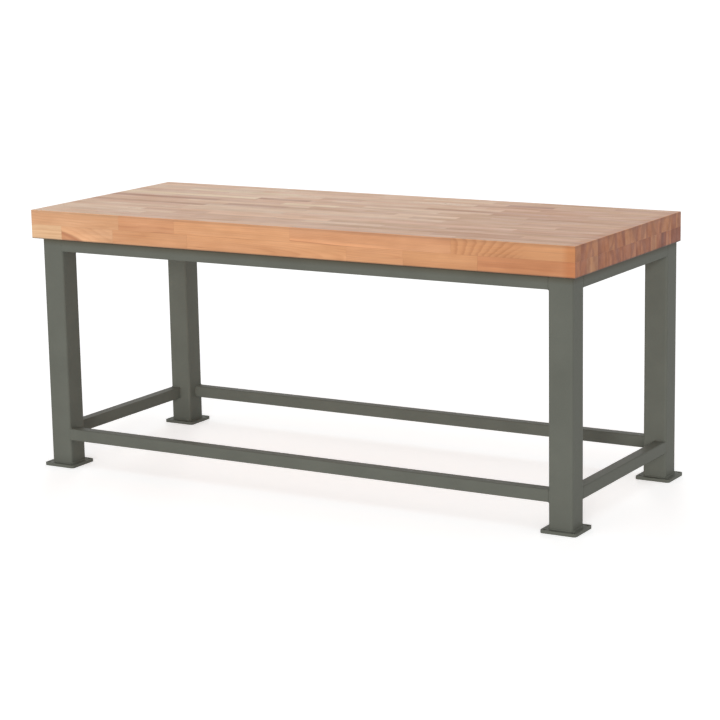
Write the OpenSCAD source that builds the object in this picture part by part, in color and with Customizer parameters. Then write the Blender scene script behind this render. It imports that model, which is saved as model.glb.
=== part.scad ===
// Heavy-duty workbench: a block-glued beech worktop on a welded frame of square steel tube.
// +X runs along the bench, to the right of someone who stands in front of it.
// +Y runs from the front to the rear, and Z is 0 at the underside of the base plates.
// The origin is the middle of the bench's footprint, on the floor.

/* [Worktop] */
// Length of the worktop
top_l = 2000; // [1400:10:2600]
// Depth of the worktop
top_d = 800; // [600:10:1000]
// Thickness of one layer of staves, of which the worktop has two
layer_t = 48; // [30:1:60]
// Rows of staves from the front edge to the rear edge
stave_rows = 20; // [12:1:20]
// Shortest length that a stave is cut to
stave_min = 190; // [120:10:260]
// Longest length that a stave is cut to
stave_max = 520; // [400:10:800]
// Least distance between butt joints in neighbouring rows
stagger = 60; // [0:5:100]
// Width of the glue line between one stave and the next
glue_line = 0.2; // [0.1:0.05:0.3]
// Chamfer on the outer edges of the worktop
arris = 2; // [1:0.5:4]

/* [Bench] */
// Height of the working surface above the floor
bench_h = 875; // [700:5:1000]
// How far the worktop reaches past the legs on the left
over_left = 38; // [0:1:80]
// How far the worktop reaches past the legs on the right
over_right = 12; // [0:1:80]
// How far the worktop reaches past the legs at the front
over_front = 8; // [0:1:60]
// How far the worktop reaches past the legs at the rear
over_rear = 0; // [0:1:60]

/* [Legs] */
// Width of the square leg tube
leg_w = 80; // [60:1:100]
// Wall of the leg tube
leg_wall = 4; // [2:0.5:5]
// Outside corner radius of the leg tube
leg_r = 8; // [6:0.5:12]

/* [Top rails] */
// Depth of a top rail, from its outer face to its inner face
rail_w = 40; // [30:1:55]
// Height of a top rail
rail_h = 40; // [30:1:60]
// Wall of the rail tube
rail_wall = 3; // [2:0.5:4]
// Outside corner radius of the rail tube
rail_r = 4; // [3:0.5:5]

/* [Lower stretchers] */
// Depth of a lower stretcher, from its outer face to its inner face
stretcher_w = 40; // [30:1:55]
// Height of a lower stretcher
stretcher_h = 40; // [30:1:60]
// Wall of the stretcher tube
stretcher_wall = 3; // [2:0.5:4]
// Outside corner radius of the stretcher tube
stretcher_r = 5; // [3:0.5:6]
// Height of the stretchers' underside above the floor
stretcher_z = 92; // [40:1:300]

/* [Base plates] */
// Width of the square base plate
plate_w = 120; // [112:1:180]
// Thickness of the base plate
plate_t = 10; // [5:1:15]
// Corner radius of the base plate
plate_r = 10; // [4:1:14]
// Diameter of the holes for floor anchors
anchor_d = 11; // [8:0.5:12]
// Distance from the middle of an anchor hole to the nearest two edges of the plate
anchor_inset = 12; // [10:0.5:14]

/* [Worktop fixings] */
// Fixing lugs on the front rail, and as many on the rear rail
lug_count = 4; // [2:1:6]
// Width of a fixing lug along the rail
lug_w = 40; // [28:1:60]
// How far a fixing lug stands out from the rail
lug_reach = 30; // [26:1:40]
// Thickness of a fixing lug
lug_t = 6; // [6:0.5:8]
// Shank diameter of the hexagon-head wood screws
screw_d = 8; // [6:0.5:10]
// Length of a screw under its head
screw_l = 50; // [30:1:60]
// Width across the flats of a screw's head
head_af = 13; // [12:0.5:17]
// Height of a screw's head
head_h = 5.3; // [3.5:0.1:6.5]
// Outside diameter of a washer
washer_d = 24; // [18:0.5:24]
// Thickness of a washer
washer_t = 2; // [1:0.5:3]
// Room round a screw in its lug and in its washer, on the diameter
screw_play = 1; // [0.4:0.1:1.5]
// Room round a screw in its pilot hole in the wood, on the diameter
pilot_play = 0.2; // [0.1:0.05:0.4]

/* [Hidden] */
LAYERS = ["lower", "upper"];
SIDES = ["left", "right"];
FACES = ["front", "rear"];
BEECH = [0.86, 0.66, 0.48];
POWDER_COAT = [0.42, 0.43, 0.40];
ZINC = [0.74, 0.75, 0.77];
round_fn = 48;

// Stave lengths, from the left end, of the rows whose butt joints show in the photo: row, then lengths.
lower_seen = [[1, [125, 210, 295, 595, 200, 255, 320]]];
upper_seen = [
    [1, [360, 220, 440, 570, 410]],
    [9, [478, 395, 392, 392]],
    [10, [530, 240, 416]],
    [12, [450]],
    [14, [557, 207, 450, 443]],
    [16, [380, 384, 165]],
    [18, [480, 470, 480, 170]]
];

// The worktop stands on the legs, and the legs stand on their base plates.
top_t = layer_t * len(LAYERS);
top_z = bench_h - top_t;
row_w = top_d / stave_rows;
leg_len = top_z - plate_t;
frame_l = top_l - over_left - over_right;
frame_d = top_d - over_front - over_rear;

// How far the bench reaches past the legs, by the worktop or by a base plate.
plate_out = (plate_w - leg_w) / 2;
reach_left = max(over_left, plate_out);
reach_right = max(over_right, plate_out);
reach_front = max(over_front, plate_out);
reach_rear = max(over_rear, plate_out);

// Outer faces of the legs, and the worktop's front left corner.
frame_x0 = reach_left - (frame_l + reach_left + reach_right) / 2;
frame_y0 = reach_front - (frame_d + reach_front + reach_rear) / 2;
frame_x1 = frame_x0 + frame_l;
frame_y1 = frame_y0 + frame_d;
top_x0 = frame_x0 - over_left;
top_y0 = frame_y0 - over_front;

// The top rails and the stretchers fill the space between two legs.
span_x = frame_l - 2 * leg_w;
span_y = frame_d - 2 * leg_w;

// Fixing lugs are shared out evenly along the front rail and the rear rail.
lug_z = top_z - lug_t;
lug_pitch = span_x / lug_count;
lug_xs = [for (i = [0 : lug_count - 1]) frame_x0 + leg_w + lug_pitch * (i + 0.5)];
lug_ys = [frame_y0 + rail_w + lug_reach / 2, frame_y1 - rail_w - lug_reach / 2];
lug_places = [for (y = lug_ys) for (x = lug_xs) [x, y]];
lug_r = 4;
point_l = screw_d;
head_z = lug_z - washer_t;
overcut = 1;

function row_name(layer, row) = str(LAYERS[layer], "_stave_row_", row < 10 ? "0" : "", row);
function corner_name(piece, face, side) = str(piece, "_", FACES[face], "_", SIDES[side]);

// A repeatable scatter from 0 to 1, for cut lengths and shades of wood.
function scatter(a, b) = let (v = 9731 * sin(a * 71.37 + b * 137.51 + 23.17)) v - floor(v);

function seen_lengths(layer, row) =
    [for (seen = layer == 0 ? lower_seen : upper_seen) if (seen[0] == row) each seen[1]];

// Length that stave number i of a row is cut to, when this much of the row is still to be laid.
function cut_length(seen, layer, row, i, rest, try) =
    let (longest = min(stave_max, rest - stave_min))
    i < len(seen) ? min(seen[i], rest - stave_min)
    : stave_min + (longest - stave_min) * scatter(row + 40 * layer, i * 3 + try * 11);

// The next butt joint after x, kept clear of the neighbouring row's joints where a few tries find room.
function next_joint(layer, row, i, x, beside, try = 0) =
    let (seen = seen_lengths(layer, row))
    let (next = x + cut_length(seen, layer, row, i, top_l - x, try))
    let (close = [for (joint = beside) if (abs(joint - next) < stagger) joint])
    len(close) == 0 || i < len(seen) || try == 12 ? next : next_joint(layer, row, i, x, beside, try + 1);

// Ends of the staves in one row, from the worktop's left end to its right end.
function row_ends(layer, row, beside, i = 0, x = 0) =
    let (next = next_joint(layer, row, i, x, beside))
    top_l - x <= stave_max ? [top_l] : concat([next], row_ends(layer, row, beside, i + 1, next));

// Ends of the staves in every row of a layer, laid from the front edge to the rear edge.
function layer_ends(layer, row = 1, laid = []) =
    row > stave_rows ? laid
    : layer_ends(layer, row + 1, concat(laid, [row_ends(layer, row, row == 1 ? [] : laid[row - 2])]));

stave_ends = [for (layer = [0 : len(LAYERS) - 1]) layer_ends(layer)];

// A rectangle with its corners cut off at 45 degrees, from the origin.
module chamfered(w, h, c) {
    polygon([[c, 0], [w - c, 0], [w, c], [w, h - c], [w - c, h], [c, h], [0, h - c], [0, c]]);
}

// A rectangle with round corners, from the origin.
module rounded(w, h, r) {
    translate([r, 0]) square([w - 2 * r, h]);
    translate([0, r]) square([w, h - 2 * r]);
    for (x = [r, w - r])
        for (y = [r, h - r])
            translate([x, y]) circle(r, $fn = round_fn);
}

// Section of a drawn square or rectangular tube, from the origin.
module tube_section(w, h, wall, r) {
    difference() {
        rounded(w, h, r);
        translate([wall, wall]) rounded(w - 2 * wall, h - 2 * wall, max(r - wall, 0.5));
    }
}

// A tube that runs along X from the origin, w deep in Y and h high in Z.
module tube_x(length, w, h, wall, r) {
    rotate([90, 0, 90]) linear_extrude(length) tube_section(w, h, wall, r);
}

// A tube that runs along Y from the origin, w deep in X and h high in Z.
module tube_y(length, w, h, wall, r) {
    translate([w, 0, 0]) rotate([0, 0, 90]) tube_x(length, w, h, wall, r);
}

// The worktop's outside, chamfered along each edge.
module worktop_outline() {
    translate([top_x0, top_y0, top_z])
        intersection() {
            linear_extrude(top_t) chamfered(top_l, top_d, arris);
            translate([0, top_d, 0]) rotate([90, 0, 0]) linear_extrude(top_d) chamfered(top_l, top_t, arris);
            rotate([90, 0, 90]) linear_extrude(top_l) chamfered(top_d, top_t, arris);
        }
}

// Pilot holes that the fixing screws are driven into, from below.
module pilot_holes() {
    for (place = lug_places)
        translate([place[0], place[1], head_z])
            cylinder(h = screw_l + glue_line, d = screw_d + pilot_play, $fn = round_fn);
}

// One row of staves, glued end to end. Each stave is a bar of its own, a glue line short of the next.
module stave_row(layer, row) {
    ends = stave_ends[layer][row - 1];
    y0 = (row - 1) * row_w;
    y_gap = row == stave_rows ? 0 : glue_line;
    z_gap = layer == 0 ? glue_line : 0;
    difference() {
        intersection() {
            for (i = [0 : len(ends) - 1]) {
                x0 = i == 0 ? 0 : ends[i - 1];
                x_gap = i == len(ends) - 1 ? 0 : glue_line;
                shade = 0.86 + 0.2 * scatter(row + i * 5, layer + 2);
                color(BEECH * shade)
                    translate([top_x0 + x0, top_y0 + y0, top_z + layer * layer_t])
                    cube([ends[i] - x0 - x_gap, row_w - y_gap, layer_t - z_gap]);
            }
            worktop_outline();
        }
        pilot_holes();
    }
}

// Square tube from the base plate up to the underside of the worktop.
module leg(face, side) {
    color(POWDER_COAT)
        translate([side == 0 ? frame_x0 : frame_x1 - leg_w, face == 0 ? frame_y0 : frame_y1 - leg_w, plate_t])
        linear_extrude(leg_len) tube_section(leg_w, leg_w, leg_wall, leg_r);
}

// Flat plate under a leg, drilled near its corners for floor anchors.
module base_plate(face, side) {
    hole_near = anchor_inset;
    hole_far = plate_w - anchor_inset;
    color(POWDER_COAT)
        translate([
            (side == 0 ? frame_x0 : frame_x1 - leg_w) - plate_out,
            (face == 0 ? frame_y0 : frame_y1 - leg_w) - plate_out,
            0
        ])
        difference() {
            linear_extrude(plate_t) rounded(plate_w, plate_w, plate_r);
            for (x = [hole_near, hole_far])
                for (y = [hole_near, hole_far])
                    translate([x, y, -overcut]) cylinder(h = plate_t + 2 * overcut, d = anchor_d, $fn = round_fn);
        }
}

// Rails directly under the worktop, between the legs and flush with the legs' outer faces.
module top_rail_long(face) {
    color(POWDER_COAT)
        translate([frame_x0 + leg_w, face == 0 ? frame_y0 : frame_y1 - rail_w, top_z - rail_h])
        tube_x(span_x, rail_w, rail_h, rail_wall, rail_r);
}

module top_rail_short(side) {
    color(POWDER_COAT)
        translate([side == 0 ? frame_x0 : frame_x1 - rail_w, frame_y0 + leg_w, top_z - rail_h])
        tube_y(span_y, rail_w, rail_h, rail_wall, rail_r);
}

// Stretchers near the floor, between the legs and flush with the legs' outer faces.
module stretcher_long(face) {
    color(POWDER_COAT)
        translate([frame_x0 + leg_w, face == 0 ? frame_y0 : frame_y1 - stretcher_w, stretcher_z])
        tube_x(span_x, stretcher_w, stretcher_h, stretcher_wall, stretcher_r);
}

module stretcher_short(side) {
    color(POWDER_COAT)
        translate([side == 0 ? frame_x0 : frame_x1 - stretcher_w, frame_y0 + leg_w, stretcher_z])
        tube_y(span_y, stretcher_w, stretcher_h, stretcher_wall, stretcher_r);
}

// Flat lugs welded inside the long rails, level with their tops, with a hole for a screw.
module fixing_lugs() {
    color(POWDER_COAT)
        for (place = lug_places)
            translate([place[0], place[1], lug_z])
            linear_extrude(lug_t)
            difference() {
                translate([-lug_w / 2, -lug_reach / 2]) rounded(lug_w, lug_reach, lug_r);
                circle(d = screw_d + screw_play, $fn = round_fn);
            }
}

module fixing_washers() {
    color(ZINC)
        for (place = lug_places)
            translate([place[0], place[1], head_z])
            linear_extrude(washer_t)
            difference() {
                circle(d = washer_d, $fn = round_fn);
                circle(d = screw_d + screw_play, $fn = round_fn);
            }
}

// Hexagon-head wood screws, driven up through washer and lug into the lower layer of staves.
module fixing_screws() {
    color(ZINC)
        for (place = lug_places)
            translate([place[0], place[1], head_z]) {
                translate([0, 0, -head_h]) cylinder(h = head_h, d = head_af / cos(30), $fn = 6);
                cylinder(h = screw_l - point_l, d = screw_d, $fn = round_fn);
                translate([0, 0, screw_l - point_l])
                    cylinder(h = point_l, d1 = screw_d, d2 = screw_d / 4, $fn = round_fn);
            }
}

for (layer = [0 : 1])
    for (row = [1 : stave_rows])
        stave_row(layer, row);
for (face = [0 : 1])
    for (side = [0 : 1]) {
        leg(face, side);
        base_plate(face, side);
    }
top_rail_long(0);  // top_rail_front
top_rail_long(1);  // top_rail_rear
top_rail_short(0);  // top_rail_left
top_rail_short(1);  // top_rail_right
stretcher_long(0);  // stretcher_front
stretcher_long(1);  // stretcher_rear
stretcher_short(0);  // stretcher_left
stretcher_short(1);  // stretcher_right
fixing_lugs();
fixing_washers();
fixing_screws();
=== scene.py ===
"""Heavy-duty workbench: a block-glued beech worktop on a welded frame of square steel tube."""
import random
from math import cos, pi, radians, sin

import bmesh
import bpy
from mathutils import Matrix, Vector


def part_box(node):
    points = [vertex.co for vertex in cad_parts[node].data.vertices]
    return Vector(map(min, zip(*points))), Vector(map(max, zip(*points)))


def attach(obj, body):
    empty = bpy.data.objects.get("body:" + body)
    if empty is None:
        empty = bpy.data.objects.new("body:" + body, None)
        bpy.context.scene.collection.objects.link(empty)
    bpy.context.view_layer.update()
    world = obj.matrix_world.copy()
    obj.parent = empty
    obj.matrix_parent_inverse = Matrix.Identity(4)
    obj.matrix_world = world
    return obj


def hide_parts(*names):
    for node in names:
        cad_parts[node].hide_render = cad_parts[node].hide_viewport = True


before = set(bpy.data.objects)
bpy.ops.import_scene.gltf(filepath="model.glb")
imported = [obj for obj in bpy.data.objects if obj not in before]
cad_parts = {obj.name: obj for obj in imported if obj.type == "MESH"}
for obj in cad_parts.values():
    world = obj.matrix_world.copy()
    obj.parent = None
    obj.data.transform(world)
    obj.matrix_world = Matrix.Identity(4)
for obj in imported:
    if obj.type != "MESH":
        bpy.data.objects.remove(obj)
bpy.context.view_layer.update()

# The studio
# The bench stands on a white floor in a white room. A soft key light from the front right and a soft fill
# light from behind on the left each brighten two of its sides, and the floor keeps a faint shadow. The
# camera stands where the photographer's did.
ROOM_LIGHT = 0.56
ROOM_SHINE = 1.0
FLOOR_SIZE = 60
FLOOR_WHITE = (0.9, 0.9, 0.9, 1)
FLOOR_ROUGHNESS = 0.9
FLOOR_LIFT = 0.50
# Each lamp's strength, and the direction that it shines from.
LAMPS = (
    ("key_light", 1.53, (0.25, -0.78, 0.13)),
    ("fill_light", 1.65, (-0.45, 0.85, 0.12)),
)
LAMP_SPREAD = radians(14)
CAMERA_PLACE = (3.7656, -6.3466, 1.8932)
CAMERA_TURN = radians(30.514)
CAMERA_DIP = radians(11.630)
CAMERA_ROLL = radians(-1.062)
CAMERA_LENS = 113.5
CAMERA_SENSOR = 36


def add_node(tree, kind, sockets=None, **options):
    """Add a shader node; a socket is given a plain value or another node's output."""
    made = tree.nodes.new("ShaderNode" + kind)
    for option, value in options.items():
        setattr(made, option, value)
    for socket, value in (sockets or {}).items():
        if isinstance(value, bpy.types.NodeSocket):
            tree.links.new(value, made.inputs[socket])
        else:
            made.inputs[socket].default_value = value
    return made


def maths(tree, operation, *values, clamp=False):
    """Result of a Math node."""
    return add_node(tree, "Math", dict(enumerate(values)), operation=operation, use_clamp=clamp).outputs[0]


def seen_directly(tree):
    """1 for the camera and for what mirrors or glass show, 0 for light that falls on things."""
    path = add_node(tree, "LightPath").outputs
    mirrored = maths(tree, "MAXIMUM", path["Is Camera Ray"], path["Is Glossy Ray"])
    return maths(tree, "MAXIMUM", mirrored, path["Is Transmission Ray"])


scene = bpy.context.scene
scene.view_settings.view_transform = "Standard"
world = bpy.data.worlds.new("white_room")
scene.world = world
world.use_nodes = True
room = world.node_tree
room.nodes.clear()
room_levels = {0: seen_directly(room), 2: ROOM_LIGHT, 3: ROOM_SHINE}
room_strength = add_node(room, "Mix", room_levels, data_type="FLOAT").outputs[0]
room_white = add_node(room, "Background", {"Color": (1, 1, 1, 1), "Strength": room_strength})
add_node(room, "OutputWorld", {"Surface": room_white.outputs[0]})

bpy.ops.object.select_all(action="DESELECT")
bpy.ops.mesh.primitive_plane_add(size=FLOOR_SIZE, location=(0, 0, 0))
floor = bpy.context.object
floor.name = "studio_floor"
floor_paint = bpy.data.materials.new("studio_floor_paint")
floor_paint.use_nodes = True
paint = floor_paint.node_tree
floor_shader = paint.nodes["Principled BSDF"]
floor_shader.inputs["Base Color"].default_value = FLOOR_WHITE
floor_shader.inputs["Roughness"].default_value = FLOOR_ROUGHNESS
floor_shader.inputs["Specular IOR Level"].default_value = 0.0
floor_shader.inputs["Emission Color"].default_value = (1, 1, 1, 1)
glow = maths(paint, "MULTIPLY", seen_directly(paint), FLOOR_LIFT)
paint.links.new(glow, floor_shader.inputs["Emission Strength"])
floor.data.materials.append(floor_paint)

for name, strength, source in LAMPS:
    lamp = bpy.data.objects.new(name, bpy.data.lights.new(name, "SUN"))
    lamp.data.energy = strength
    lamp.data.angle = LAMP_SPREAD
    lamp.visible_glossy = False
    lamp.rotation_euler = Vector(source).to_track_quat("Z", "Y").to_euler()
    scene.collection.objects.link(lamp)

camera = bpy.data.objects.new("camera", bpy.data.cameras.new("camera"))
camera.data.sensor_width = CAMERA_SENSOR
camera.data.lens = CAMERA_LENS
camera.matrix_world = (
    Matrix.Translation(CAMERA_PLACE)
    @ Matrix.Rotation(CAMERA_TURN, 4, "Z")
    @ Matrix.Rotation(pi / 2 - CAMERA_DIP, 4, "X")
    @ Matrix.Rotation(CAMERA_ROLL, 4, "Z")
)
scene.collection.objects.link(camera)
scene.camera = camera

# The base plates
# A square 10 mm steel plate under each leg spreads its load. Each is laser cut with round corners and
# four holes for floor anchors, has its sharp edges broken, and is powder coated with the rest of the frame.
CORNERS = ("front_left", "front_right", "rear_left", "rear_right")
PLATE_CORNER = 0.010
PLATE_EDGE = 0.0008
ANCHOR_HOLE = 0.011
ANCHOR_INSET = 0.012
DRILL_PAST = 0.01
FRAME_GREY = (0.136, 0.141, 0.119)
COAT_TONES = (0.94, 1.06)
SPECK_TONES = (0.95, 1.05)
COAT_ROUGHNESS = (0.40, 0.50)
COAT_SPECULAR = 0.06
DIMPLE_DEPTH = 0.0003
# The range in which most of the coat's noise lies.
MOST_NOISE = (0.3, 0.7)
# Painted shade under the worktop: its tint, how far down the frame it reaches, and the underside of the
# worktop.
PAINTED_SHADE_TINT = (0.69, 0.62, 0.53, 1)
PAINTED_SHADE_REACH = 0.022
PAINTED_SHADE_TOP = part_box("top_rail_front")[1].z


def choose(piece, kind, test):
    """In edit mode, select only the faces or edges of a piece that pass a test."""
    mesh = bmesh.from_edit_mesh(piece.data)
    bpy.ops.mesh.select_mode(type={"faces": "FACE", "edges": "EDGE"}[kind])
    bpy.ops.mesh.select_all(action="DESELECT")
    for part in getattr(mesh, kind):
        part.select_set(bool(test(part)))
    mesh.select_flush_mode()
    bmesh.update_edit_mesh(piece.data)


def runs_along(edge, axis):
    """Whether an edge runs along one axis of the bench."""
    step = edge.verts[1].co - edge.verts[0].co
    return abs(step[axis]) > 0.999 * step.length


def block(name, low, high):
    """Start a piece from a block between two corners, with its place in its mesh."""
    bpy.ops.object.select_all(action="DESELECT")
    bpy.ops.mesh.primitive_cube_add(size=1, location=(low + high) / 2, scale=high - low)
    bpy.ops.object.transform_apply(location=True, rotation=False, scale=True)
    piece = bpy.context.object
    piece.name = name
    return piece


def make_active(pieces):
    """Select just these pieces, with the first one active."""
    bpy.ops.object.select_all(action="DESELECT")
    for piece in pieces:
        piece.select_set(True)
    bpy.context.view_layer.objects.active = pieces[0]


def apply_modifier(piece, kind, **options):
    """Add a modifier to a piece and apply it."""
    make_active([piece])
    bpy.ops.object.modifier_add(type=kind)
    for option, value in options.items():
        setattr(piece.modifiers[-1], option, value)
    bpy.ops.object.modifier_apply(modifier=piece.modifiers[-1].name)


def break_edges(piece, width, segments):
    """Take the sharpness off all edges that are sharper than 50 degrees."""
    apply_modifier(piece, "BEVEL", width=width, segments=segments, limit_method="ANGLE",
                   angle_limit=radians(50))


def smooth(piece, angle=35):
    """Shade round corners as round and flat faces as flat."""
    make_active([piece])
    bpy.ops.object.shade_smooth_by_angle(angle=radians(angle))
    apply_modifier(piece, "WEIGHTED_NORMAL", keep_sharp=True, weight=100)


def joined(pieces, name):
    """Join pieces of one kind into one object."""
    make_active(pieces)
    if len(pieces) > 1:
        bpy.ops.object.join()
    whole = bpy.context.view_layer.objects.active
    whole.name = name
    return whole


def drill(piece, places, diameter, bottom, top, sides=32):
    """Bore upright holes through a piece."""
    bpy.ops.object.select_all(action="DESELECT")
    bits = []
    for x, y in places:
        bpy.ops.mesh.primitive_cylinder_add(vertices=sides, radius=diameter / 2, depth=top - bottom,
                                            location=(x, y, (top + bottom) / 2))
        bits.append(bpy.context.object)
    bit = joined(bits, "drill_bit")
    apply_modifier(piece, "BOOLEAN", object=bit, operation="DIFFERENCE", solver="EXACT")
    bpy.data.objects.remove(bit)


def copy_of(piece, name, move):
    """A copy of a finished piece, with its own mesh, moved to its place."""
    twin = piece.copy()
    twin.data = piece.data.copy()
    twin.name = name
    twin.data.transform(Matrix.Translation(move))
    scene.collection.objects.link(twin)
    return twin


def between(tree, value, low, high, at_low, at_high):
    """Run from one value to another as an input runs from low to high."""
    sockets = {"Value": value, "From Min": low, "From Max": high, "To Min": at_low, "To Max": at_high}
    return add_node(tree, "MapRange", sockets).outputs[0]


def blend_colours(tree, amount, first, second, how="MIX"):
    """Blend one colour into another."""
    sockets = {0: amount, 6: first, 7: second}
    return add_node(tree, "Mix", sockets, data_type="RGBA", blend_type=how).outputs[2]


def brightened(tree, colour, level):
    """A colour times a level."""
    return add_node(tree, "VectorMath", {0: colour, "Scale": level}, operation="SCALE").outputs[0]


def bumps(tree, height, strength, distance):
    """Normals of a surface with a fine relief."""
    sockets = {"Height": height, "Strength": strength, "Distance": distance}
    return add_node(tree, "Bump", sockets).outputs[0]


def new_material(name, specular, metallic=0.0):
    """A material, its node tree and its shader."""
    material = bpy.data.materials.new(name)
    material.use_nodes = True
    shader = material.node_tree.nodes["Principled BSDF"]
    shader.inputs["Specular IOR Level"].default_value = specular
    shader.inputs["Metallic"].default_value = metallic
    return material, material.node_tree, shader


def dress(tree, shader, colour, roughness, normal):
    """Lead a colour, a roughness and normals into a shader."""
    tree.links.new(colour, shader.inputs["Base Color"])
    tree.links.new(roughness, shader.inputs["Roughness"])
    tree.links.new(normal, shader.inputs["Normal"])


def coated_skin():
    """Shader group for the skin of sprayed and baked powder: dimples, clouds, fine specks, and painted
    shade.
    """
    group = bpy.data.node_groups.new("coated_skin", "ShaderNodeTree")
    group.interface.new_socket("Dimple Size", in_out="INPUT", socket_type="NodeSocketFloat")
    for name in ("Dimples", "Clouds", "Specks", "Painted Shade"):
        group.interface.new_socket(name, in_out="OUTPUT", socket_type="NodeSocketFloat")
    entry = group.nodes.new("NodeGroupInput")
    leave = group.nodes.new("NodeGroupOutput")
    place = add_node(group, "TexCoord").outputs["Object"]
    per_metre = maths(group, "DIVIDE", 1.0, entry.outputs["Dimple Size"])
    for name, scale, detail, roughness in (
        ("Dimples", per_metre, 1.5, 0.4),
        ("Clouds", 7.0, 4.0, 0.55),
        ("Specks", 900.0, 1.0, 0.5),
    ):
        sockets = {"Vector": place, "Scale": scale, "Detail": detail, "Roughness": roughness}
        group.links.new(add_node(group, "TexNoise", sockets).outputs[0], leave.inputs[name])

    # painted shade: the frame is darker and browner just under the worktop, where the worktop shades it
    height = add_node(group, "SeparateXYZ", {0: place}).outputs["Z"]
    painted_shade = between(group, height, PAINTED_SHADE_TOP - PAINTED_SHADE_REACH, PAINTED_SHADE_TOP, 0.0, 1.0)
    group.links.new(painted_shade, leave.inputs["Painted Shade"])
    return group


def powder_coat(name, dimple, relief):
    """Grey-green powder coat: satin, with drifting tone and gloss, and painted shade near the worktop."""
    material, tree, shader = new_material(name, COAT_SPECULAR)
    skin = tree.nodes.new("ShaderNodeGroup")
    skin.node_tree = bpy.data.node_groups.get("coated_skin") or coated_skin()
    skin.inputs["Dimple Size"].default_value = dimple
    tone = between(tree, skin.outputs["Clouds"], *MOST_NOISE, *COAT_TONES)
    fine = between(tree, skin.outputs["Specks"], *MOST_NOISE, *SPECK_TONES)
    rough = between(tree, skin.outputs["Clouds"], *MOST_NOISE, *COAT_ROUGHNESS)
    grey = brightened(tree, FRAME_GREY, maths(tree, "MULTIPLY", tone, fine))
    # painted shade darkens the coat just under the worktop
    grey_in_shade = blend_colours(tree, skin.outputs["Painted Shade"], grey, PAINTED_SHADE_TINT, "MULTIPLY")
    dress(tree, shader, grey_in_shade, rough, bumps(tree, skin.outputs["Dimples"], relief, DIMPLE_DEPTH))
    return material


plate_coat = powder_coat("powder_coat_on_plate", 0.0035, 0.25)
low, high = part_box("base_plate_front_left")
first_plate = block("floor_plate_front_left", low, high)
bpy.ops.object.mode_set(mode="EDIT")
choose(first_plate, "edges", lambda edge: runs_along(edge, 2))
bpy.ops.mesh.bevel(offset=PLATE_CORNER, segments=8, affect="EDGES")
bpy.ops.object.mode_set(mode="OBJECT")
anchor_places = [(x, y) for x in (low.x + ANCHOR_INSET, high.x - ANCHOR_INSET)
                 for y in (low.y + ANCHOR_INSET, high.y - ANCHOR_INSET)]
drill(first_plate, anchor_places, ANCHOR_HOLE, low.z - DRILL_PAST, high.z + DRILL_PAST)
break_edges(first_plate, PLATE_EDGE, 2)
smooth(first_plate)
first_plate.data.materials.append(plate_coat)
for corner in CORNERS:
    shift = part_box("base_plate_" + corner)[0] - low
    plate = first_plate if corner == "front_left" else copy_of(first_plate, "floor_plate_" + corner, shift)
    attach(plate, "root")
    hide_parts("base_plate_" + corner)

# The legs
# Four posts of 80 mm square steel tube with a 4 mm wall, sawn square, stood on their plates and welded.
# The tube is cold formed, so its corners are round, and the coat shines along them.
LEG_WALL = 0.004
LEG_CORNER = 0.008


def square_tube(name, node, axis, wall, corner, coat):
    """Square tube in the place of a CAD node, along one axis, open at its ends."""
    low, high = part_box(node)
    tube = block(name, low, high)
    bpy.ops.object.mode_set(mode="EDIT")
    choose(tube, "edges", lambda edge: runs_along(edge, axis))
    bpy.ops.mesh.bevel(offset=corner, segments=6, affect="EDGES")
    choose(tube, "faces", lambda face: abs(face.normal[axis]) > 0.9)
    bpy.ops.mesh.inset(thickness=wall, use_even_offset=True)
    bpy.ops.mesh.delete(type="FACE")
    choose(tube, "edges", lambda edge: edge.is_boundary)
    bpy.ops.mesh.bridge_edge_loops()
    bpy.ops.mesh.select_all(action="SELECT")
    bpy.ops.mesh.normals_make_consistent(inside=False)
    bpy.ops.object.mode_set(mode="OBJECT")
    smooth(tube)
    tube.data.materials.append(coat)
    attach(tube, "root")
    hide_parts(node)


tube_coat = powder_coat("powder_coat_on_tube", 0.0030, 0.20)
for corner in CORNERS:
    square_tube("post_" + corner, "leg_" + corner, 2, LEG_WALL, LEG_CORNER, tube_coat)

# The top rails
# Four lengths of 40 mm square tube with a 3 mm wall join the legs at the top, flush with their outer
# faces. The worktop lies on them. Their corners are tighter than the legs'.
RAIL_WALL = 0.003
RAIL_CORNER = 0.004
# Each side of the frame, the axis that its tubes run along, and the outward direction across them.
SIDES = (("front", 0, -1), ("rear", 0, 1), ("left", 1, -1), ("right", 1, 1))
for side, axis, outward in SIDES:
    square_tube("upper_tube_" + side, "top_rail_" + side, axis, RAIL_WALL, RAIL_CORNER, tube_coat)

# The stretchers
# Four lengths of the same tube near the floor keep the legs from spreading. They too are flush with
# the legs' outer faces.
STRETCHER_CORNER = 0.005
for side, axis, outward in SIDES:
    square_tube("lower_tube_" + side, "stretcher_" + side, axis, RAIL_WALL, STRETCHER_CORNER, tube_coat)

# The welds
# Each joint of the frame is welded with a rippled bead along every side that a torch can reach. Beads in
# the groove between a leg's round corner and a tube's end fill it, and are dressed nearly flush. All are
# coated.
RIPPLE = 0.0011
RIPPLE_DRIFT = 1.7
BEAD_SIDES = 10
# How thick a bead is at its ends, and how much thicker it gets with each ripple.
BEAD_TIP = 0.45
BEAD_GAIN = 0.2
# Beads in corners: their radius, how much they swell at a ripple, and their lengths on legs and tubes.
FILLET = 0.0030
FILLET_SWELL = 0.05
LEG_BEAD_LENGTH = 0.068
TUBE_FILLET = FILLET * 0.85
TUBE_BEAD_LENGTH = 0.034
TUBE_BEAD_INSET = 0.003
# Beads in grooves: their radius, their swell, how far they stand out, how deep towards the leg their middle
# lies, how far above the tube's underside they start, and their length.
GROOVE = 0.0046
GROOVE_SWELL = 0.015
GROOVE_PROUD = 0.0002
GROOVE_DEPTH = 0.0030
GROOVE_START = 0.0005
GROOVE_BEAD_LENGTH = 0.039


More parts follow.
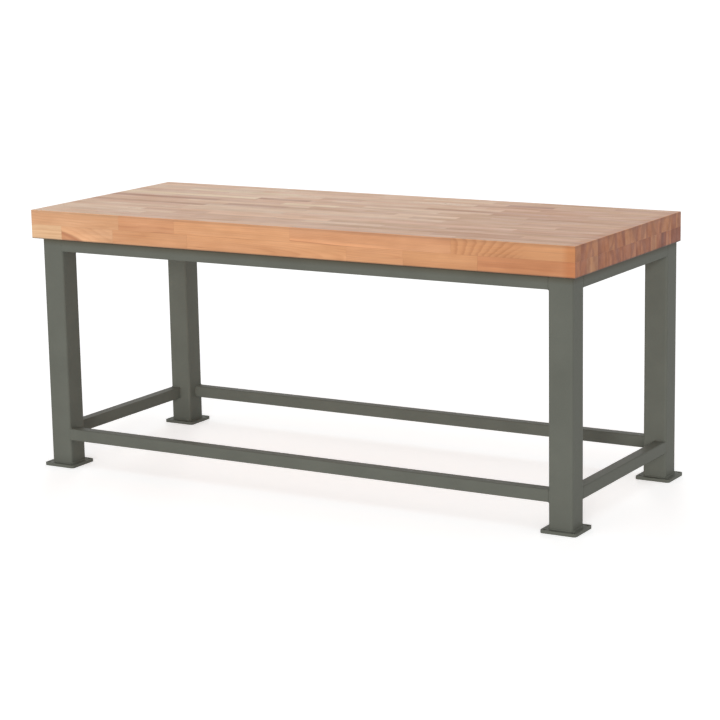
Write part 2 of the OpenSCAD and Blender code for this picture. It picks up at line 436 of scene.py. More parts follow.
def bead(name, length, size, swell):
    """A straight weld bead along X from the origin, built up one ripple after another."""
    bpy.ops.object.select_all(action="DESELECT")
    bpy.ops.mesh.primitive_circle_add(vertices=BEAD_SIDES, radius=size * BEAD_TIP, fill_type="NGON",
                                      rotation=(0, pi / 2, 0))
    bpy.ops.object.transform_apply(location=False, rotation=True, scale=False)
    made = bpy.context.object
    made.name = name
    bpy.ops.object.mode_set(mode="EDIT")
    bpy.ops.mesh.select_all(action="SELECT")
    count = round(length / RIPPLE)
    girth = BEAD_TIP
    for step in range(1, count + 1):
        ripple = 1 + swell * (1 if step % 2 else -1) + 0.5 * swell * sin(step * RIPPLE_DRIFT)
        tapered = min(1.0, BEAD_TIP + BEAD_GAIN * step, BEAD_TIP + BEAD_GAIN * (count - step))
        wanted = ripple * tapered
        bpy.ops.mesh.extrude_region_move(TRANSFORM_OT_translate={"value": (length / count, 0, 0)})
        bpy.ops.transform.resize(value=(1, wanted / girth, wanted / girth))
        girth = wanted
    bpy.ops.mesh.select_all(action="SELECT")
    bpy.ops.mesh.normals_make_consistent(inside=False)
    bpy.ops.object.mode_set(mode="OBJECT")
    return made


weld_coat = powder_coat("powder_coat_on_weld", 0.0020, 0.35)
leg_bead = bead("leg_bead", LEG_BEAD_LENGTH, FILLET, FILLET_SWELL)
tube_bead = bead("tube_bead", TUBE_BEAD_LENGTH, TUBE_FILLET, FILLET_SWELL)
groove_bead = bead("groove_bead", GROOVE_BEAD_LENGTH, GROOVE, GROOVE_SWELL)


def lay_beads(name, rows):
    """Copies of a bead, each turned and moved to its joint, as one piece: (bead, start, direction)."""
    laid = []
    for master, start, direction in rows:
        twin = copy_of(master, name + "_part", (0, 0, 0))
        turn = Vector((1, 0, 0)).rotation_difference(Vector(direction)).to_matrix().to_4x4()
        twin.data.transform(Matrix.Translation(start) @ turn)
        laid.append(twin)
    welds = joined(laid, name)
    smooth(welds, angle=60)
    welds.data.materials.append(weld_coat)
    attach(welds, "root")


def leg_foot_rows(corner):
    """Beads round the foot of a leg: one along each of its flat sides."""
    low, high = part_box("leg_" + corner)
    middle = (low + high) / 2
    start = LEG_BEAD_LENGTH / 2
    along_x = [(leg_bead, (middle.x - start, y, low.z), (1, 0, 0)) for y in (low.y, high.y)]
    along_y = [(leg_bead, (x, middle.y - start, low.z), (0, 1, 0)) for x in (low.x, high.x)]
    return along_x + along_y


def tube_end_rows(node, axis, outward):
    """Beads round both ends of a tube: in the groove outside, inside, below and, if in reach, above."""
    low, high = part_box(node)
    across = 1 - axis
    outer, inner = (low, high) if outward < 0 else (high, low)
    sideways = [0, 0, 0]
    sideways[across] = 1
    in_groove = outer[across] - outward * (GROOVE - GROOVE_PROUD)
    rows = []
    for end, towards_leg in ((low[axis], -1), (high[axis], 1)):
        def at(along, over, up):
            place = [0, 0, up]
            place[axis] = end + along
            place[across] = over
            return Vector(place)
        groove_start = at(towards_leg * GROOVE_DEPTH, in_groove, low.z + GROOVE_START)
        rows.append((groove_bead, groove_start, (0, 0, 1)))
        rows.append((tube_bead, at(0, inner[across], low.z + TUBE_BEAD_INSET), (0, 0, 1)))
        rows.append((tube_bead, at(0, low[across] + TUBE_BEAD_INSET, low.z), sideways))
        if node.startswith("stretcher"):
            rows.append((tube_bead, at(0, low[across] + TUBE_BEAD_INSET, high.z), sideways))
    return rows


lay_beads("welds_at_plates", [row for corner in CORNERS for row in leg_foot_rows(corner)])
for level, name in (("top_rail_", "welds_at_top_rails"), ("stretcher_", "welds_at_stretchers")):
    lay_beads(name, [row for side, axis, outward in SIDES
                     for row in tube_end_rows(level + side, axis, outward)])
for master in (leg_bead, tube_bead, groove_bead):
    bpy.data.objects.remove(master)

# The fixing lugs
# Flat lugs welded inside the long top rails carry the screws that hold the worktop down. Each is cut
# from 6 mm bar with two round corners and one hole.
LUG_CORNER = 0.004
LUG_EDGE = 0.0005
LUGS_PER_RAIL = 4
LUG_WIDTH = 0.040
LUG_REACH = 0.030
LUG_HOLE = 0.009
SAME_PLACE = 0.0001
lug_low, lug_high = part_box("fixing_lugs")
leg_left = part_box("leg_front_left")[1].x
leg_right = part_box("leg_front_right")[0].x
lug_pitch = (leg_right - leg_left) / LUGS_PER_RAIL
lug_xs = [leg_left + lug_pitch * (number + 0.5) for number in range(LUGS_PER_RAIL)]
lug_places = [(x, y) for y in (lug_low.y + LUG_REACH / 2, lug_high.y - LUG_REACH / 2) for x in lug_xs]

lugs = []
for number, (x, y) in enumerate(lug_places):
    free_edge = y + LUG_REACH / 2 if y < 0 else y - LUG_REACH / 2
    lug = block(f"lug_{number}", Vector((x - LUG_WIDTH / 2, y - LUG_REACH / 2, lug_low.z)),
                Vector((x + LUG_WIDTH / 2, y + LUG_REACH / 2, lug_high.z)))
    bpy.ops.object.mode_set(mode="EDIT")
    choose(lug, "edges",
           lambda edge: runs_along(edge, 2) and abs(edge.verts[0].co.y - free_edge) < SAME_PLACE)
    bpy.ops.mesh.bevel(offset=LUG_CORNER, segments=5, affect="EDGES")
    bpy.ops.object.mode_set(mode="OBJECT")
    drill(lug, [(x, y)], LUG_HOLE, lug_low.z - DRILL_PAST, lug_high.z + DRILL_PAST)
    break_edges(lug, LUG_EDGE, 1)
    lugs.append(lug)
lugs = joined(lugs, "rail_lugs")
smooth(lugs)
lugs.data.materials.append(plate_coat)
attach(lugs, "root")
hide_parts("fixing_lugs")

# The worktop
# A slab of beech staves in two layers, glued edge to edge and end to end with staggered butt joints, then
# planed, sanded and oiled. Each row of staves is one piece. The staves differ in shade, and each was cut
# from another place in the log, so its growth rings bend round a centre of its own.
ARRIS = 0.002
GLUE_LINE = 0.0003
STAVE_ROWS = 20
PILOT_HOLE = 0.0082
PILOT_DEPTH = 0.0422
WOOD_SPECULAR = 0.77
SHADES = {
    "cream": (234, 190, 146),
    "pale": (222, 168, 124),
    "honey": (219, 158, 110),
    "tan": (214, 152, 107),
    "amber": (206, 145, 97),
    "russet": (198, 132, 86),
    "brown": (186, 118, 75),
    "umber": (158, 93, 63),
}
# Shades that most staves draw from, those that the last two of a row draw from, and the front row's.
COMMON_SHADES = ("pale", "honey", "tan")
# The last two staves of a row draw darker shades: partly the wood's own tone, partly painted shade where the
# top's sheen fades towards the right end.
LAST_SHADES = {
    "upper": ("tan", "amber", "amber", "russet"),
    "lower": ("russet", "russet", "brown", "brown"),
}
FRONT_SHADES = {
    "upper": ("pale", "tan", "honey", "tan", "amber"),
    "lower": ("cream", "pale", "honey", "honey", "honey", "amber", "russet"),
}
# Staves that stand out from the rest: shade, layer, then each one's row and its number from the left end,
# or from the right end where it is below zero.
STANDOUTS = (
    ("cream", "upper", ((12, 2), (14, 0), (17, 1))),
    ("pale", "upper", ((8, 2), (9, 1))),
    ("amber", "upper", ((3, 3), (10, 2), (13, -1))),
    ("russet", "upper", ((2, -1), (6, -1), (8, -1), (9, 0), (9, -1), (14, -1), (16, 2))),
    ("brown", "upper", ((10, 1), (12, 0), (14, 1), (18, 3))),
    ("pale", "lower", ((3, -1), (4, -1), (15, -1))),
    ("russet", "lower", ((6, -1), (12, -1), (13, -1))),
    ("brown", "lower", ((2, -1), (9, -1), (10, -1))),
    ("umber", "lower", ((17, -1), (19, -1), (20, -1))),
)
# Front staves with a figure of their own, by layer, row and number: the rings' contrast, their centre from
# the worktop's left end and above its underside, and how many there are to the millimetre along and
# upwards. Some have a heart of another shade, so many rings wide, and one is cut so that its rings fan out.
FIGURES = {
    ("upper", 1, 4): dict(contrast=0.52, centre=(1.100, 0.068), rings=(0.038, 0.110), fan=9.0),
    ("upper", 1, 3): dict(contrast=0.30, centre=(0.300, -0.150), rings=(0.0238, 0.250), heart="honey",
                          edge=54.5),
    ("lower", 1, 1): dict(contrast=0.25, centre=(-0.300, -0.200), rings=(0.0295, 0.070), heart="tan",
                          edge=20.5),
    ("lower", 1, 3): dict(contrast=0.40, centre=(0.680, 0.010), rings=(0.012, 0.200)),
    ("lower", 1, 4): dict(contrast=0.35, centre=(1.330, 0.027), rings=(0.012, 0.200)),
}
# How far along from their centre fanned rings lie evenly, where past it they fade, and how strongly.
FAN_LENGTH = 0.53
FAN_FADES = (0.15, 0.40)
FAN_FADE = 0.22
# What each stave carries for the shader: the attribute's kind, its field and the node's output.
STAVE_LOOKS = {
    "shade": ("FLOAT_COLOR", "color", "Color"),
    "heart_shade": ("FLOAT_COLOR", "color", "Color"),
    "ring_centre": ("FLOAT_VECTOR", "vector", "Vector"),
    "ring_count": ("FLOAT_VECTOR", "vector", "Vector"),
    "figure": ("FLOAT_VECTOR", "vector", "Vector"),
    "fan": ("FLOAT", "value", "Fac"),
}
# Streaks to the metre along and across the grain, and their detail.
STREAKS = {
    "wander": (2.5, 16.0, 2.0),
    "uneven rings": (9.0, 70.0, 2.0),
    "patches": (4.0, 30.0, 2.0),
    "fibres": (5.0, 320.0, 3.0),
    "narrow clouds": (3.5, 38.0, 3.0),
    "broad clouds": (6.0, 14.0, 2.0),
}
# The range in which the slow streaks' noise lies for the most part.
MIDDLE_NOISE = (0.38, 0.62)
FLECKS_PER_METRE = (300.0, 1300.0, 1300.0)
PORES_PER_METRE = 2200.0
# How far the rings wander along the log, in metres, and how uneven they are, in rings.
RING_WANDER = (0.02, 0.012, 0.012)
RING_UNEVEN = 0.7
# How dark a ring is at places from its early wood to its late wood.
RING_PROFILE = ((0.40, 0.15), (0.80, 1.0), (0.92, 0.8))
# The tint of late wood, and how far a rim, pith, fleck or pore darkens the wood towards it.
LATE_WOOD = (0.68, 0.50, 0.37, 1)
RIM_DARK = 0.55
PITH_DARK = 0.9
FLECK_DARK = 0.28
PORE_DARK = 0.45
# How much brighter the wood is in the halo round a heart.
HALO_LIGHT = 0.22
# Tints of poor years and of the wood's slow clouds, and how its fibres vary in tone and roughness.
POOR_YEARS = (0.70, 0.59, 0.52, 1)
DARK_CLOUDS = (0.89, 0.865, 0.81, 1)
PALE_CLOUDS = (1.03, 1.055, 1.055, 1)
FIBRE_TONES = (0.91, 1.09)
FIBRE_ROUGHNESS = (0.27, 0.37)
# A darker, redder tint near the right end, with how far from it it starts and is fullest, and the tint of
# oil in end grain.
RIGHT_END_TINT = (0.91, 0.77, 0.59, 1)
RIGHT_END_TINT_FROM = 0.044
RIGHT_END_TINT_TO = 0.022
OILED_END_GRAIN = (0.81, 0.74, 0.60, 1)
# A painted sheen on the top: a paler, greyer tint.
PAINTED_TOP_SHEEN = (1.02, 1.12, 1.15, 1)
# How much paler a painted highlight leaves the upper arrises, and how much darker painted shade leaves the
# lower ones.
PAINTED_ARRIS_HIGHLIGHT = 0.26
PAINTED_ARRIS_SHADE = -0.85
# Bands of painted shade beside them: how far from the edge each starts and is fullest, and how dark it is.
UPPER_SHADE_BAND = (0.011, 0.003, 0.20)
LOWER_SHADE_BAND = (0.006, 0.002, 0.45)


def linear(screen):
    """Scene colour of a shade given in screen values."""
    return tuple(((value / 255 + 0.055) / 1.055) ** 2.4 for value in screen)


def vectors(tree, operation, *values):
    """Result of a Vector Math node."""
    made = add_node(tree, "VectorMath", dict(enumerate(values)), operation=operation)
    return made.outputs["Value" if operation == "LENGTH" else "Vector"]


def streaks(tree, place, kind):
    """Noise drawn out along the grain."""
    along, across, detail = STREAKS[kind]
    stretched = vectors(tree, "MULTIPLY", place, (along, across, across))
    sockets = {"Vector": stretched, "Scale": 1.0, "Detail": detail, "Roughness": 0.6}
    return add_node(tree, "TexNoise", sockets).outputs


def growth_rings(tree, place, apart, own):
    """Rings counted outwards from the stave's own centre, even and uneven, and the way along from there.

    They wander a little along the log, and in a stave cut across the grain they fan out along it.
    """
    wander = vectors(tree, "SUBTRACT", streaks(tree, apart, "wander")["Color"], (0.5, 0.5, 0.5))
    bent = vectors(tree, "ADD", place, vectors(tree, "MULTIPLY", wander, RING_WANDER))
    from_centre = vectors(tree, "SUBTRACT", bent, own["ring_centre"])
    reach = add_node(tree, "SeparateXYZ", {0: from_centre}).outputs
    fanned = maths(tree, "MULTIPLY", maths(tree, "SUBTRACT", reach["X"], FAN_LENGTH), reach["Z"])
    fanned = add_node(tree, "CombineXYZ", {"X": maths(tree, "MULTIPLY", fanned, own["fan"])}).outputs[0]
    from_centre = vectors(tree, "SUBTRACT", from_centre, fanned)
    rings_out = vectors(tree, "LENGTH", vectors(tree, "MULTIPLY", from_centre, own["ring_count"]))
    uneven = maths(tree, "MULTIPLY_ADD", streaks(tree, apart, "uneven rings")[0], RING_UNEVEN, rings_out)
    return rings_out, uneven, reach["X"]


def ring_lines(tree, apart, rings, along, contrast, fan):
    """The rings' dark late wood: in patches, but all over a fan, and fading out past it."""
    ring = add_node(tree, "ValToRGB", {0: maths(tree, "FRACT", rings)})
    for end in ring.color_ramp.elements:
        end.color = (0, 0, 0, 1)
    for position, value in RING_PROFILE:
        ring.color_ramp.elements.new(position).color = (value, value, value, 1)
    patches = between(tree, streaks(tree, apart, "patches")[0], *MIDDLE_NOISE, 0.2, 1.0)
    patches = maths(tree, "MAXIMUM", patches, maths(tree, "GREATER_THAN", fan, 0.0))
    fade_from, fade_to = (FAN_LENGTH + way for way in FAN_FADES)
    past_fan = between(tree, along, fade_from, fade_to, 0.0, FAN_FADE)
    depth = maths(tree, "SUBTRACT", contrast, maths(tree, "MULTIPLY", past_fan, fan), clamp=True)
    return maths(tree, "MULTIPLY", ring.outputs[0], maths(tree, "MULTIPLY", depth, patches))


def poor_year_bands(tree, rings, seed, end_grain):
    """Broad bands of poor years, which are darker and redder, above all on the end grain."""
    year = maths(tree, "MULTIPLY_ADD", rings, 0.09, seed)
    sockets = {"W": year, "Scale": 1.0, "Detail": 0.6}
    years = add_node(tree, "TexNoise", sockets, noise_dimensions="1D").outputs[0]
    bands = between(tree, years, 0.42, 0.62, 0.0, 1.0)
    return maths(tree, "MULTIPLY", bands, between(tree, end_grain, 0.0, 1.0, 0.28, 1.0))


def heartwood(tree, rings_out, edge):
    """The heart inside its edge, its dark rim, the pale halo round it, and a dark pith or pin knot."""
    has_heart = maths(tree, "GREATER_THAN", edge, 0.5)
    past_edge = maths(tree, "SUBTRACT", rings_out, edge)
    heart = maths(tree, "MULTIPLY", has_heart, between(tree, past_edge, -0.3, 0.1, 1.0, 0.0))
    near_rim = maths(tree, "ABSOLUTE", maths(tree, "ADD", past_edge, 0.35))
    rim = maths(tree, "MULTIPLY", has_heart, between(tree, near_rim, 0.1, 0.6, 1.0, 0.0))
    outside = maths(tree, "MULTIPLY", has_heart, between(tree, past_edge, 0.0, 0.3, 0.0, 1.0))
    halo = maths(tree, "MULTIPLY", outside, between(tree, past_edge, 0.6, 3.0, 1.0, 0.0))
    pith = between(tree, rings_out, 0.10, 0.32, 1.0, 0.0)
    return heart, rim, halo, pith


def fine_grain(tree, apart, end_grain):
    """Fibres, slow clouds of tint, the short dark flecks of beech's rays, and the end grain's pores."""
    fibres = between(tree, streaks(tree, apart, "fibres")[0], 0.25, 0.75, *FIBRE_TONES)
    clouds = maths(tree, "MULTIPLY", streaks(tree, apart, "narrow clouds")[0], 0.5)
    clouds = maths(tree, "MULTIPLY_ADD", streaks(tree, apart, "broad clouds")[0], 0.5, clouds)
    cells = {"Vector": vectors(tree, "MULTIPLY", apart, FLECKS_PER_METRE), "Scale": 1.0}
    flecks = between(tree, add_node(tree, "TexVoronoi", cells).outputs["Distance"], 0.10, 0.30, 1.0, 0.0)
    cells = {"Vector": apart, "Scale": PORES_PER_METRE}
    pores = between(tree, add_node(tree, "TexVoronoi", cells).outputs["Distance"], 0.15, 0.35, 1.0, 0.0)
    return fibres, clouds, flecks, maths(tree, "MULTIPLY", end_grain, pores)


def painted_edge_light(tree, facing, height):
    """How bright painted light leaves the worktop's edges.

    A painted highlight leaves the rounded upper arrises pale, painted shade darkens the lower ones, and
    painted shade darkens a narrow band of each side beside them.
    """
    upright = maths(tree, "ABSOLUTE", facing["Z"])
    rounded = maths(tree, "MULTIPLY", between(tree, upright, 0.05, 0.20, 0.0, 1.0),
                    between(tree, upright, 0.93, 0.99, 1.0, 0.0))
    # painted highlight on the upper arrises, painted shade on the lower ones
    arris_light = between(tree, facing["Z"], -0.2, 0.2, PAINTED_ARRIS_SHADE, PAINTED_ARRIS_HIGHLIGHT)
    arris_light = maths(tree, "MULTIPLY", rounded, arris_light)
    beside = between(tree, upright, 0.30, 0.80, 1.0, 0.0)
    # painted shade in bands beside the arrises
    start, full, depth = UPPER_SHADE_BAND
    upper_shade_band = between(tree, height, top_high.z - start, top_high.z - full, 0.0, depth)
    start, full, depth = LOWER_SHADE_BAND
    lower_shade_band = between(tree, height, top_low.z + full, top_low.z + start, depth, 0.0)
    bands = maths(tree, "MULTIPLY", beside, maths(tree, "ADD", upper_shade_band, lower_shade_band))
    return maths(tree, "MULTIPLY", maths(tree, "ADD", arris_light, 1.0), maths(tree, "SUBTRACT", 1.0, bands))


def oiled_beech():
    """Planed and oiled beech, from what each stave carries: its shade, its heart's shade and its rings."""
    material, tree, shader = new_material("oiled_beech", WOOD_SPECULAR)
    own = {name: add_node(tree, "Attribute", attribute_name=name).outputs[output]
           for name, (_, _, output) in STAVE_LOOKS.items()}
    figure = add_node(tree, "SeparateXYZ", {0: own["figure"]}).outputs
    contrast, heart_edge, seed = figure["X"], figure["Y"], figure["Z"]
    texture = add_node(tree, "TexCoord").outputs
    place = texture["Object"]
    spot = add_node(tree, "SeparateXYZ", {0: place}).outputs
    facing = add_node(tree, "SeparateXYZ", {0: texture["Normal"]}).outputs
    end_grain = between(tree, maths(tree, "ABSOLUTE", facing["X"]), 0.55, 0.80, 0.0, 1.0)
    offset = add_node(tree, "CombineXYZ", {"X": seed, "Y": seed, "Z": seed}).outputs[0]
    apart = vectors(tree, "ADD", place, offset)

    rings_out, rings, along = growth_rings(tree, place, apart, own)
    lines = ring_lines(tree, apart, rings, along, contrast, own["fan"])
    bands = poor_year_bands(tree, rings, seed, end_grain)
    heart, rim, halo, pith = heartwood(tree, rings_out, heart_edge)
    fibres, clouds, flecks, pores = fine_grain(tree, apart, end_grain)

    # rings, rim, pith, flecks and pores darken the wood
    long_flecks = maths(tree, "MULTIPLY", flecks, maths(tree, "SUBTRACT", 1.0, end_grain))
    dark = lines
    for mask, depth in ((rim, RIM_DARK), (pith, PITH_DARK), (long_flecks, FLECK_DARK), (pores, PORE_DARK)):
        dark = maths(tree, "MULTIPLY_ADD", mask, depth, dark, clamp=True)
    wood = blend_colours(tree, heart, own["shade"], own["heart_shade"])
    wood = blend_colours(tree, dark, wood, blend_colours(tree, 1.0, wood, LATE_WOOD, "MULTIPLY"))

    # the wood is darker and redder near the right end, oil soaks further into end grain, and a painted sheen
    # pales the top
    near_right_end = between(tree, spot["X"], top_high.x - RIGHT_END_TINT_FROM, top_high.x - RIGHT_END_TINT_TO, 0.0, 1.0)
    top_sheen = between(tree, facing["Z"], 0.90, 0.99, 0.0, 1.0)
    for mask, tint in (
        (bands, POOR_YEARS),
        (near_right_end, RIGHT_END_TINT),
        (end_grain, OILED_END_GRAIN),
        (top_sheen, PAINTED_TOP_SHEEN),
    ):
        wood = blend_colours(tree, mask, wood, tint, "MULTIPLY")
    cloudy = between(tree, clouds, *MIDDLE_NOISE, 0.0, 1.0)
    wood = vectors(tree, "MULTIPLY", wood, blend_colours(tree, cloudy, DARK_CLOUDS, PALE_CLOUDS))
    level = maths(tree, "MULTIPLY", fibres, maths(tree, "MULTIPLY_ADD", halo, HALO_LIGHT, 1.0))
    # painted highlight and painted shade along the worktop's edges
    level = maths(tree, "MULTIPLY", level, painted_edge_light(tree, facing, spot["Z"]))

    # dark staves, pale fibres, end grain and dark clouds are less glossy than the rest
    green = add_node(tree, "SeparateColor", {0: own["shade"]}).outputs["Green"]
    rough = between(tree, green, 0.12, 0.40, 0.09, 0.0)
    rough = maths(tree, "ADD", rough, between(tree, fibres, *FIBRE_TONES, *FIBRE_ROUGHNESS))
    rough = maths(tree, "MULTIPLY_ADD", end_grain, 0.14, rough)
    rough = maths(tree, "ADD", rough, between(tree, clouds, *MIDDLE_NOISE, 0.09, -0.04))
    relief = maths(tree, "MULTIPLY_ADD", flecks, -0.4, fibres)
    relief = maths(tree, "MULTIPLY_ADD", pores, -0.6, relief)
    dress(tree, shader, brightened(tree, wood, level), rough, bumps(tree, relief, 0.25, 0.0002))
    return material


def stave_spans(node, seam):
    """Left and right end of each stave in a row, from the glue lines at its glued face."""
    low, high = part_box(node)
    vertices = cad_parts[node].data.vertices
    xs = sorted({round(vertex.co.x, 5) for vertex in vertices if abs(vertex.co.z - seam) < SAME_PLACE})
    joints = [(left, right) for left, right in zip(xs, xs[1:]) if right - left < GLUE_LINE]
    return list(zip([low.x] + [right for _, right in joints], [left for left, _ in joints] + [high.x]))


def outer_faces(vertex):
    """Which of the worktop's six faces a vertex lies on."""
    return {(axis, side) for axis in range(3) for side, corner in enumerate((top_low, top_high))
            if abs(vertex.co[axis] - corner[axis]) < SAME_PLACE}


def stave_row(node, name, spans):
    """One row of staves as separate bars, with the worktop's own edges rounded over."""
    low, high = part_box(node)
    for number, (left, right) in enumerate(spans):
        start, stop = Vector((left, low.y, low.z)), Vector((right, high.y, high.z))
        if number == 0:
            piece = block(name, start, stop)
            bpy.ops.object.mode_set(mode="EDIT")
        else:
            bpy.ops.mesh.primitive_cube_add(size=1, location=(start + stop) / 2, scale=stop - start)
    choose(piece, "edges", lambda edge: len(outer_faces(edge.verts[0]) & outer_faces(edge.verts[1])) > 1)
    bpy.ops.mesh.bevel(offset=ARRIS, segments=3, affect="EDGES")
    bpy.ops.object.mode_set(mode="OBJECT")
    return piece


def stave_shade(layer, row, number, count, drawn):
    """Name of a stave's shade: the one drawn for it, unless it is at the front or stands out."""
    shade = FRONT_SHADES[layer][number] if row == 1 else drawn
    for name, its_layer, places in STANDOUTS:
        if layer == its_layer and ((row, number) in places or (row, number - count) in places):
            shade = name
    return shade


def stave_look(layer, row, number, spans):
    """One stave's shade, heart and growth rings: its own figure, or one that is drawn for it."""
    low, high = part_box(f"{layer}_stave_row_{row:02d}")
    left, right = spans[number]
    dice = random.Random(10000 * (layer == "upper") + 100 * row + number)
    lift = dice.uniform(0.97, 1.03)
    away = dice.uniform(0.040, 0.220)
    bearing = dice.choice((0, pi)) + dice.uniform(-0.8, 0.8)
    spacing = dice.uniform(0.0020, 0.0042)
    lean = dice.uniform(0.006, 0.035)
    centre = [(left + right) / 2 + dice.uniform(-0.5, 0.5), (low.y + high.y) / 2 + away * cos(bearing),
              (low.z + high.z) / 2 + away * sin(bearing)]
    count = [lean / spacing, 1 / spacing, 1 / spacing]
    contrast, seed = dice.uniform(0.15, 0.60), dice.uniform(0, 40)
    # darker shades for the last two staves: partly wood tone, partly painted shade for the sheen fading
    # towards the right end
    drawn = dice.choice(LAST_SHADES[layer] if number >= len(spans) - 2 else COMMON_SHADES)
    shade = [value * lift for value in linear(SHADES[stave_shade(layer, row, number, len(spans), drawn)])]
    heart, edge, fan = shade, 0.0, 0.0
    own = FIGURES.get((layer, row, number))
    if own:
        contrast, edge, fan = own["contrast"], own.get("edge", 0.0), own.get("fan", 0.0)
        centre = [top_low.x + own["centre"][0], low.y, top_low.z + own["centre"][1]]
        # from rings to the millimetre to rings to the metre, and three times as close from front to rear
        along, upwards = own["rings"]
        count = [along * 1000, upwards * 3000, upwards * 1000]
        if "heart" in own:
            heart = linear(SHADES[own["heart"]])
    return {"shade": [*shade, 1], "heart_shade": [*heart, 1], "ring_centre": centre, "ring_count": count,
            "figure": (contrast, edge, seed), "fan": fan}


def mark_staves(piece, layer, row, spans):
    """Write each stave's look into the mesh, for the wood to read."""
    looks = [stave_look(layer, row, number, spans) for number in range(len(spans))]
    ends = [right + GLUE_LINE / 2 for _, right in spans]
    owners = [next(number for number, end in enumerate(ends) if vertex.co.x < end)
              for vertex in piece.data.vertices]
    for name, (kind, field, _) in STAVE_LOOKS.items():
        values = piece.data.attributes.new(name, kind, "POINT").data
        for index, owner in enumerate(owners):
            setattr(values[index], field, looks[owner][name])


top_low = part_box("lower_stave_row_01")[0]
top_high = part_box(f"upper_stave_row_{STAVE_ROWS:02d}")[1]
beech = oiled_beech()
for layer in ("lower", "upper"):
    for row in range(1, STAVE_ROWS + 1):
        node = f"{layer}_stave_row_{row:02d}"
        low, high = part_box(node)
        spans = stave_spans(node, high.z if layer == "lower" else low.z)
        staves = stave_row(node, f"{layer}_staves_{row:02d}", spans)
        pilots = [place for place in lug_places if low.y < place[1] < high.y and layer == "lower"]
        if pilots:
            drill(staves, pilots, PILOT_HOLE, low.z - DRILL_PAST, low.z + PILOT_DEPTH, sides=24)
        mark_staves(staves, layer, row, spans)
        smooth(staves)
        staves.data.materials.append(beech)
        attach(staves, "root")
        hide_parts(node)

# The washers
# A plain zinc-plated steel washer sits under each lug, between it and the screw's head. It is stamped
# from strip, so its edges are a little rounded.
WASHER_HOLE = 0.009
WASHER_EDGE = 0.0004
ZINC_CRYSTALS_PER_METRE = 700.0
ZINC_BLOOM_PER_METRE = 160.0
ZINC_DARK = (0.50, 0.52, 0.55, 1)
ZINC_PALE = (0.68, 0.69, 0.70, 1)


def zinc():
    """Bright zinc plating: faint grey-blue spangle, with a gloss that varies from crystal to crystal."""
    material, tree, shader = new_material("zinc_plating", 0.5, metallic=1.0)
    place = add_node(tree, "TexCoord").outputs["Object"]
    sockets = {"Vector": place, "Scale": ZINC_CRYSTALS_PER_METRE}
    crystals = add_node(tree, "TexVoronoi", sockets).outputs["Color"]
    crystal = add_node(tree, "SeparateXYZ", {0: crystals}).outputs["X"]
    sockets = {"Vector": place, "Scale": ZINC_BLOOM_PER_METRE, "Detail": 3.0}
    bloom = add_node(tree, "TexNoise", sockets).outputs[0]
    mixed = maths(tree, "MULTIPLY_ADD", crystal, 0.4, maths(tree, "MULTIPLY", bloom, 0.6))
    metal = blend_colours(tree, mixed, ZINC_DARK, ZINC_PALE)
    dress(tree, shader, metal, between(tree, mixed, 0.2, 0.8, 0.30, 0.44), bumps(tree, bloom, 0.15, 0.0001))
    return material


def round_bar(name, place, radius, bottom, top, sides=48):
    """Start a piece from an upright round bar."""
    bpy.ops.object.select_all(action="DESELECT")
    bpy.ops.mesh.primitive_cylinder_add(vertices=sides, radius=radius, depth=top - bottom,
                                        location=(*place, (top + bottom) / 2))
    bpy.ops.object.transform_apply(location=True, rotation=False, scale=False)
    bar = bpy.context.object
    bar.name = name
    return bar


def at_each_lug(piece, name):
    """A finished piece at the first lug, with a copy of it at each of the others, as one object."""
    first_x, first_y = lug_places[0]
    copies = [copy_of(piece, name, (x - first_x, y - first_y, 0)) for x, y in lug_places[1:]]
    return joined([piece] + copies, name)


plating = zinc()
low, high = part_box("fixing_washers")
washer_radius = lug_places[0][1] - low.y
washer = round_bar("washer", lug_places[0], washer_radius, low.z, high.z)
drill(washer, lug_places[:1], WASHER_HOLE, low.z - DRILL_PAST, high.z + DRILL_PAST)
break_edges(washer, WASHER_EDGE, 2)
washers = at_each_lug(washer, "screw_washers")
smooth(washers)
washers.data.materials.append(plating)
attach(washers, "root")
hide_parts("fixing_washers")

# The fixing screws
# Hexagon-head wood screws, zinc plated, driven up through washers and lugs into the lower layer of
# staves. The head is cold forged and its corners are turned off; the thread is rolled on the shank.
HEAD_ACROSS = 0.013
HEAD_RADIUS = HEAD_ACROSS / 2 / cos(pi / 6)
HEAD_TURNED = 0.0011
BLANK_PAST_HEAD = 0.002
HAIR = 0.0001
SHANK = 0.008
SHANK_IN_HEAD = 0.001
# Lengths of the shank's parts from the head on: plain, narrowing to the thread's root, and threaded.
PLAIN_SHANK = 0.006
NECK = 0.0008
CORE = 0.0352
# The thread: its root's diameter, half its profile's width, how far its middle lies inside the plain
# shank's surface, where it starts past the head, its pitch, its turns, and the steps in a turn.
THREAD_ROOT = 0.0056
THREAD_SIZE = 0.0010
THREAD_SINK = 0.0011
THREAD_START = 0.0065
THREAD_PITCH = 0.0032
THREAD_TURNS = 11
THREAD_STEPS = 20
screw_low, screw_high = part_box("fixing_screws")
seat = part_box("fixing_washers")[0].z
spot = lug_places[0]

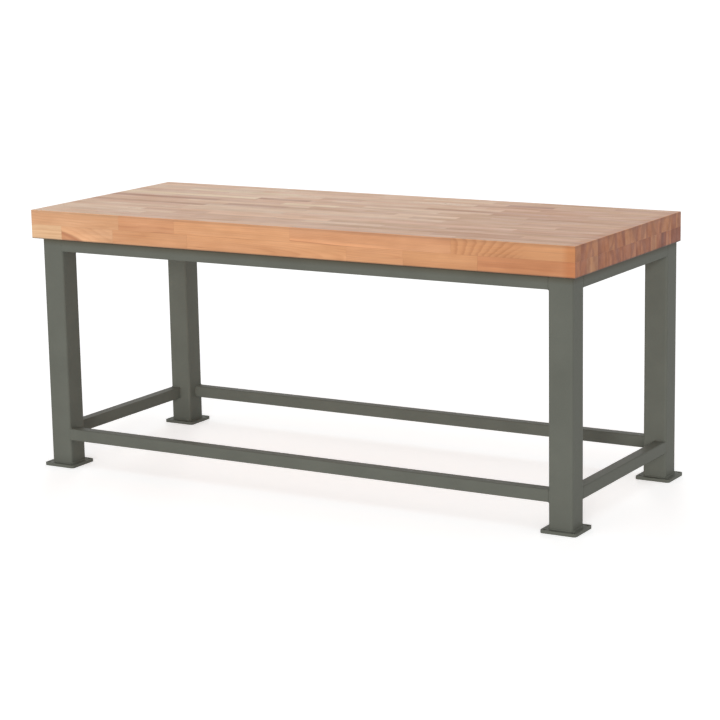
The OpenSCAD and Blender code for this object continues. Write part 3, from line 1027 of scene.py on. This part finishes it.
bpy.ops.object.select_all(action="DESELECT")
bpy.ops.mesh.primitive_cylinder_add(vertices=6, radius=HEAD_RADIUS, depth=seat - screw_low.z,
                                    location=(*spot, (seat + screw_low.z) / 2), rotation=(0, 0, pi / 6))
bpy.ops.object.transform_apply(location=True, rotation=True, scale=False)
screw_head = bpy.context.object
blank_top = seat + BLANK_PAST_HEAD
turned = round_bar("turned_blank", spot, HEAD_RADIUS + HAIR, screw_low.z, blank_top, sides=64)
bpy.ops.object.mode_set(mode="EDIT")
choose(turned, "edges", lambda edge: max(vertex.co.z for vertex in edge.verts) < screw_low.z + SAME_PLACE)
bpy.ops.mesh.bevel(offset=HEAD_TURNED, segments=1, affect="EDGES")
bpy.ops.object.mode_set(mode="OBJECT")
apply_modifier(screw_head, "BOOLEAN", object=turned, operation="INTERSECT", solver="EXACT")
bpy.data.objects.remove(turned)

shank = round_bar("shank", spot, SHANK / 2 - HAIR, seat - SHANK_IN_HEAD, seat + PLAIN_SHANK)
bpy.ops.object.mode_set(mode="EDIT")
choose(shank, "faces", lambda face: face.normal.z > 0.9)
girth = SHANK
tip = screw_high.z - seat - PLAIN_SHANK - NECK - CORE - HAIR
for rise, wanted in ((NECK, THREAD_ROOT), (CORE, THREAD_ROOT), (tip, SHANK / 6)):
    bpy.ops.mesh.extrude_region_move(TRANSFORM_OT_translate={"value": (0, 0, rise)})
    bpy.ops.transform.resize(value=(wanted / girth, wanted / girth, 1))
    girth = wanted
bpy.ops.object.mode_set(mode="OBJECT")

bpy.ops.object.select_all(action="DESELECT")
bpy.ops.mesh.primitive_circle_add(vertices=4, radius=THREAD_SIZE, fill_type="NGON", rotation=(pi / 2, 0, 0),
                                  location=(SHANK / 2 - THREAD_SINK, 0, 0))
bpy.ops.object.transform_apply(location=True, rotation=True, scale=False)
thread = bpy.context.object
apply_modifier(thread, "SCREW", axis="Z", screw_offset=THREAD_PITCH, iterations=THREAD_TURNS,
               steps=THREAD_STEPS, render_steps=THREAD_STEPS)
bpy.ops.object.mode_set(mode="EDIT")
bpy.ops.mesh.select_all(action="SELECT")
bpy.ops.mesh.fill_holes(sides=4)
bpy.ops.mesh.normals_make_consistent(inside=False)
bpy.ops.object.mode_set(mode="OBJECT")
thread.data.transform(Matrix.Translation((*spot, seat + THREAD_START)))

screw = joined([screw_head, shank, thread], "screw")
screws = at_each_lug(screw, "hexagon_screws")
smooth(screws)
screws.data.materials.append(plating)
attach(screws, "root")
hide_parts("fixing_screws")
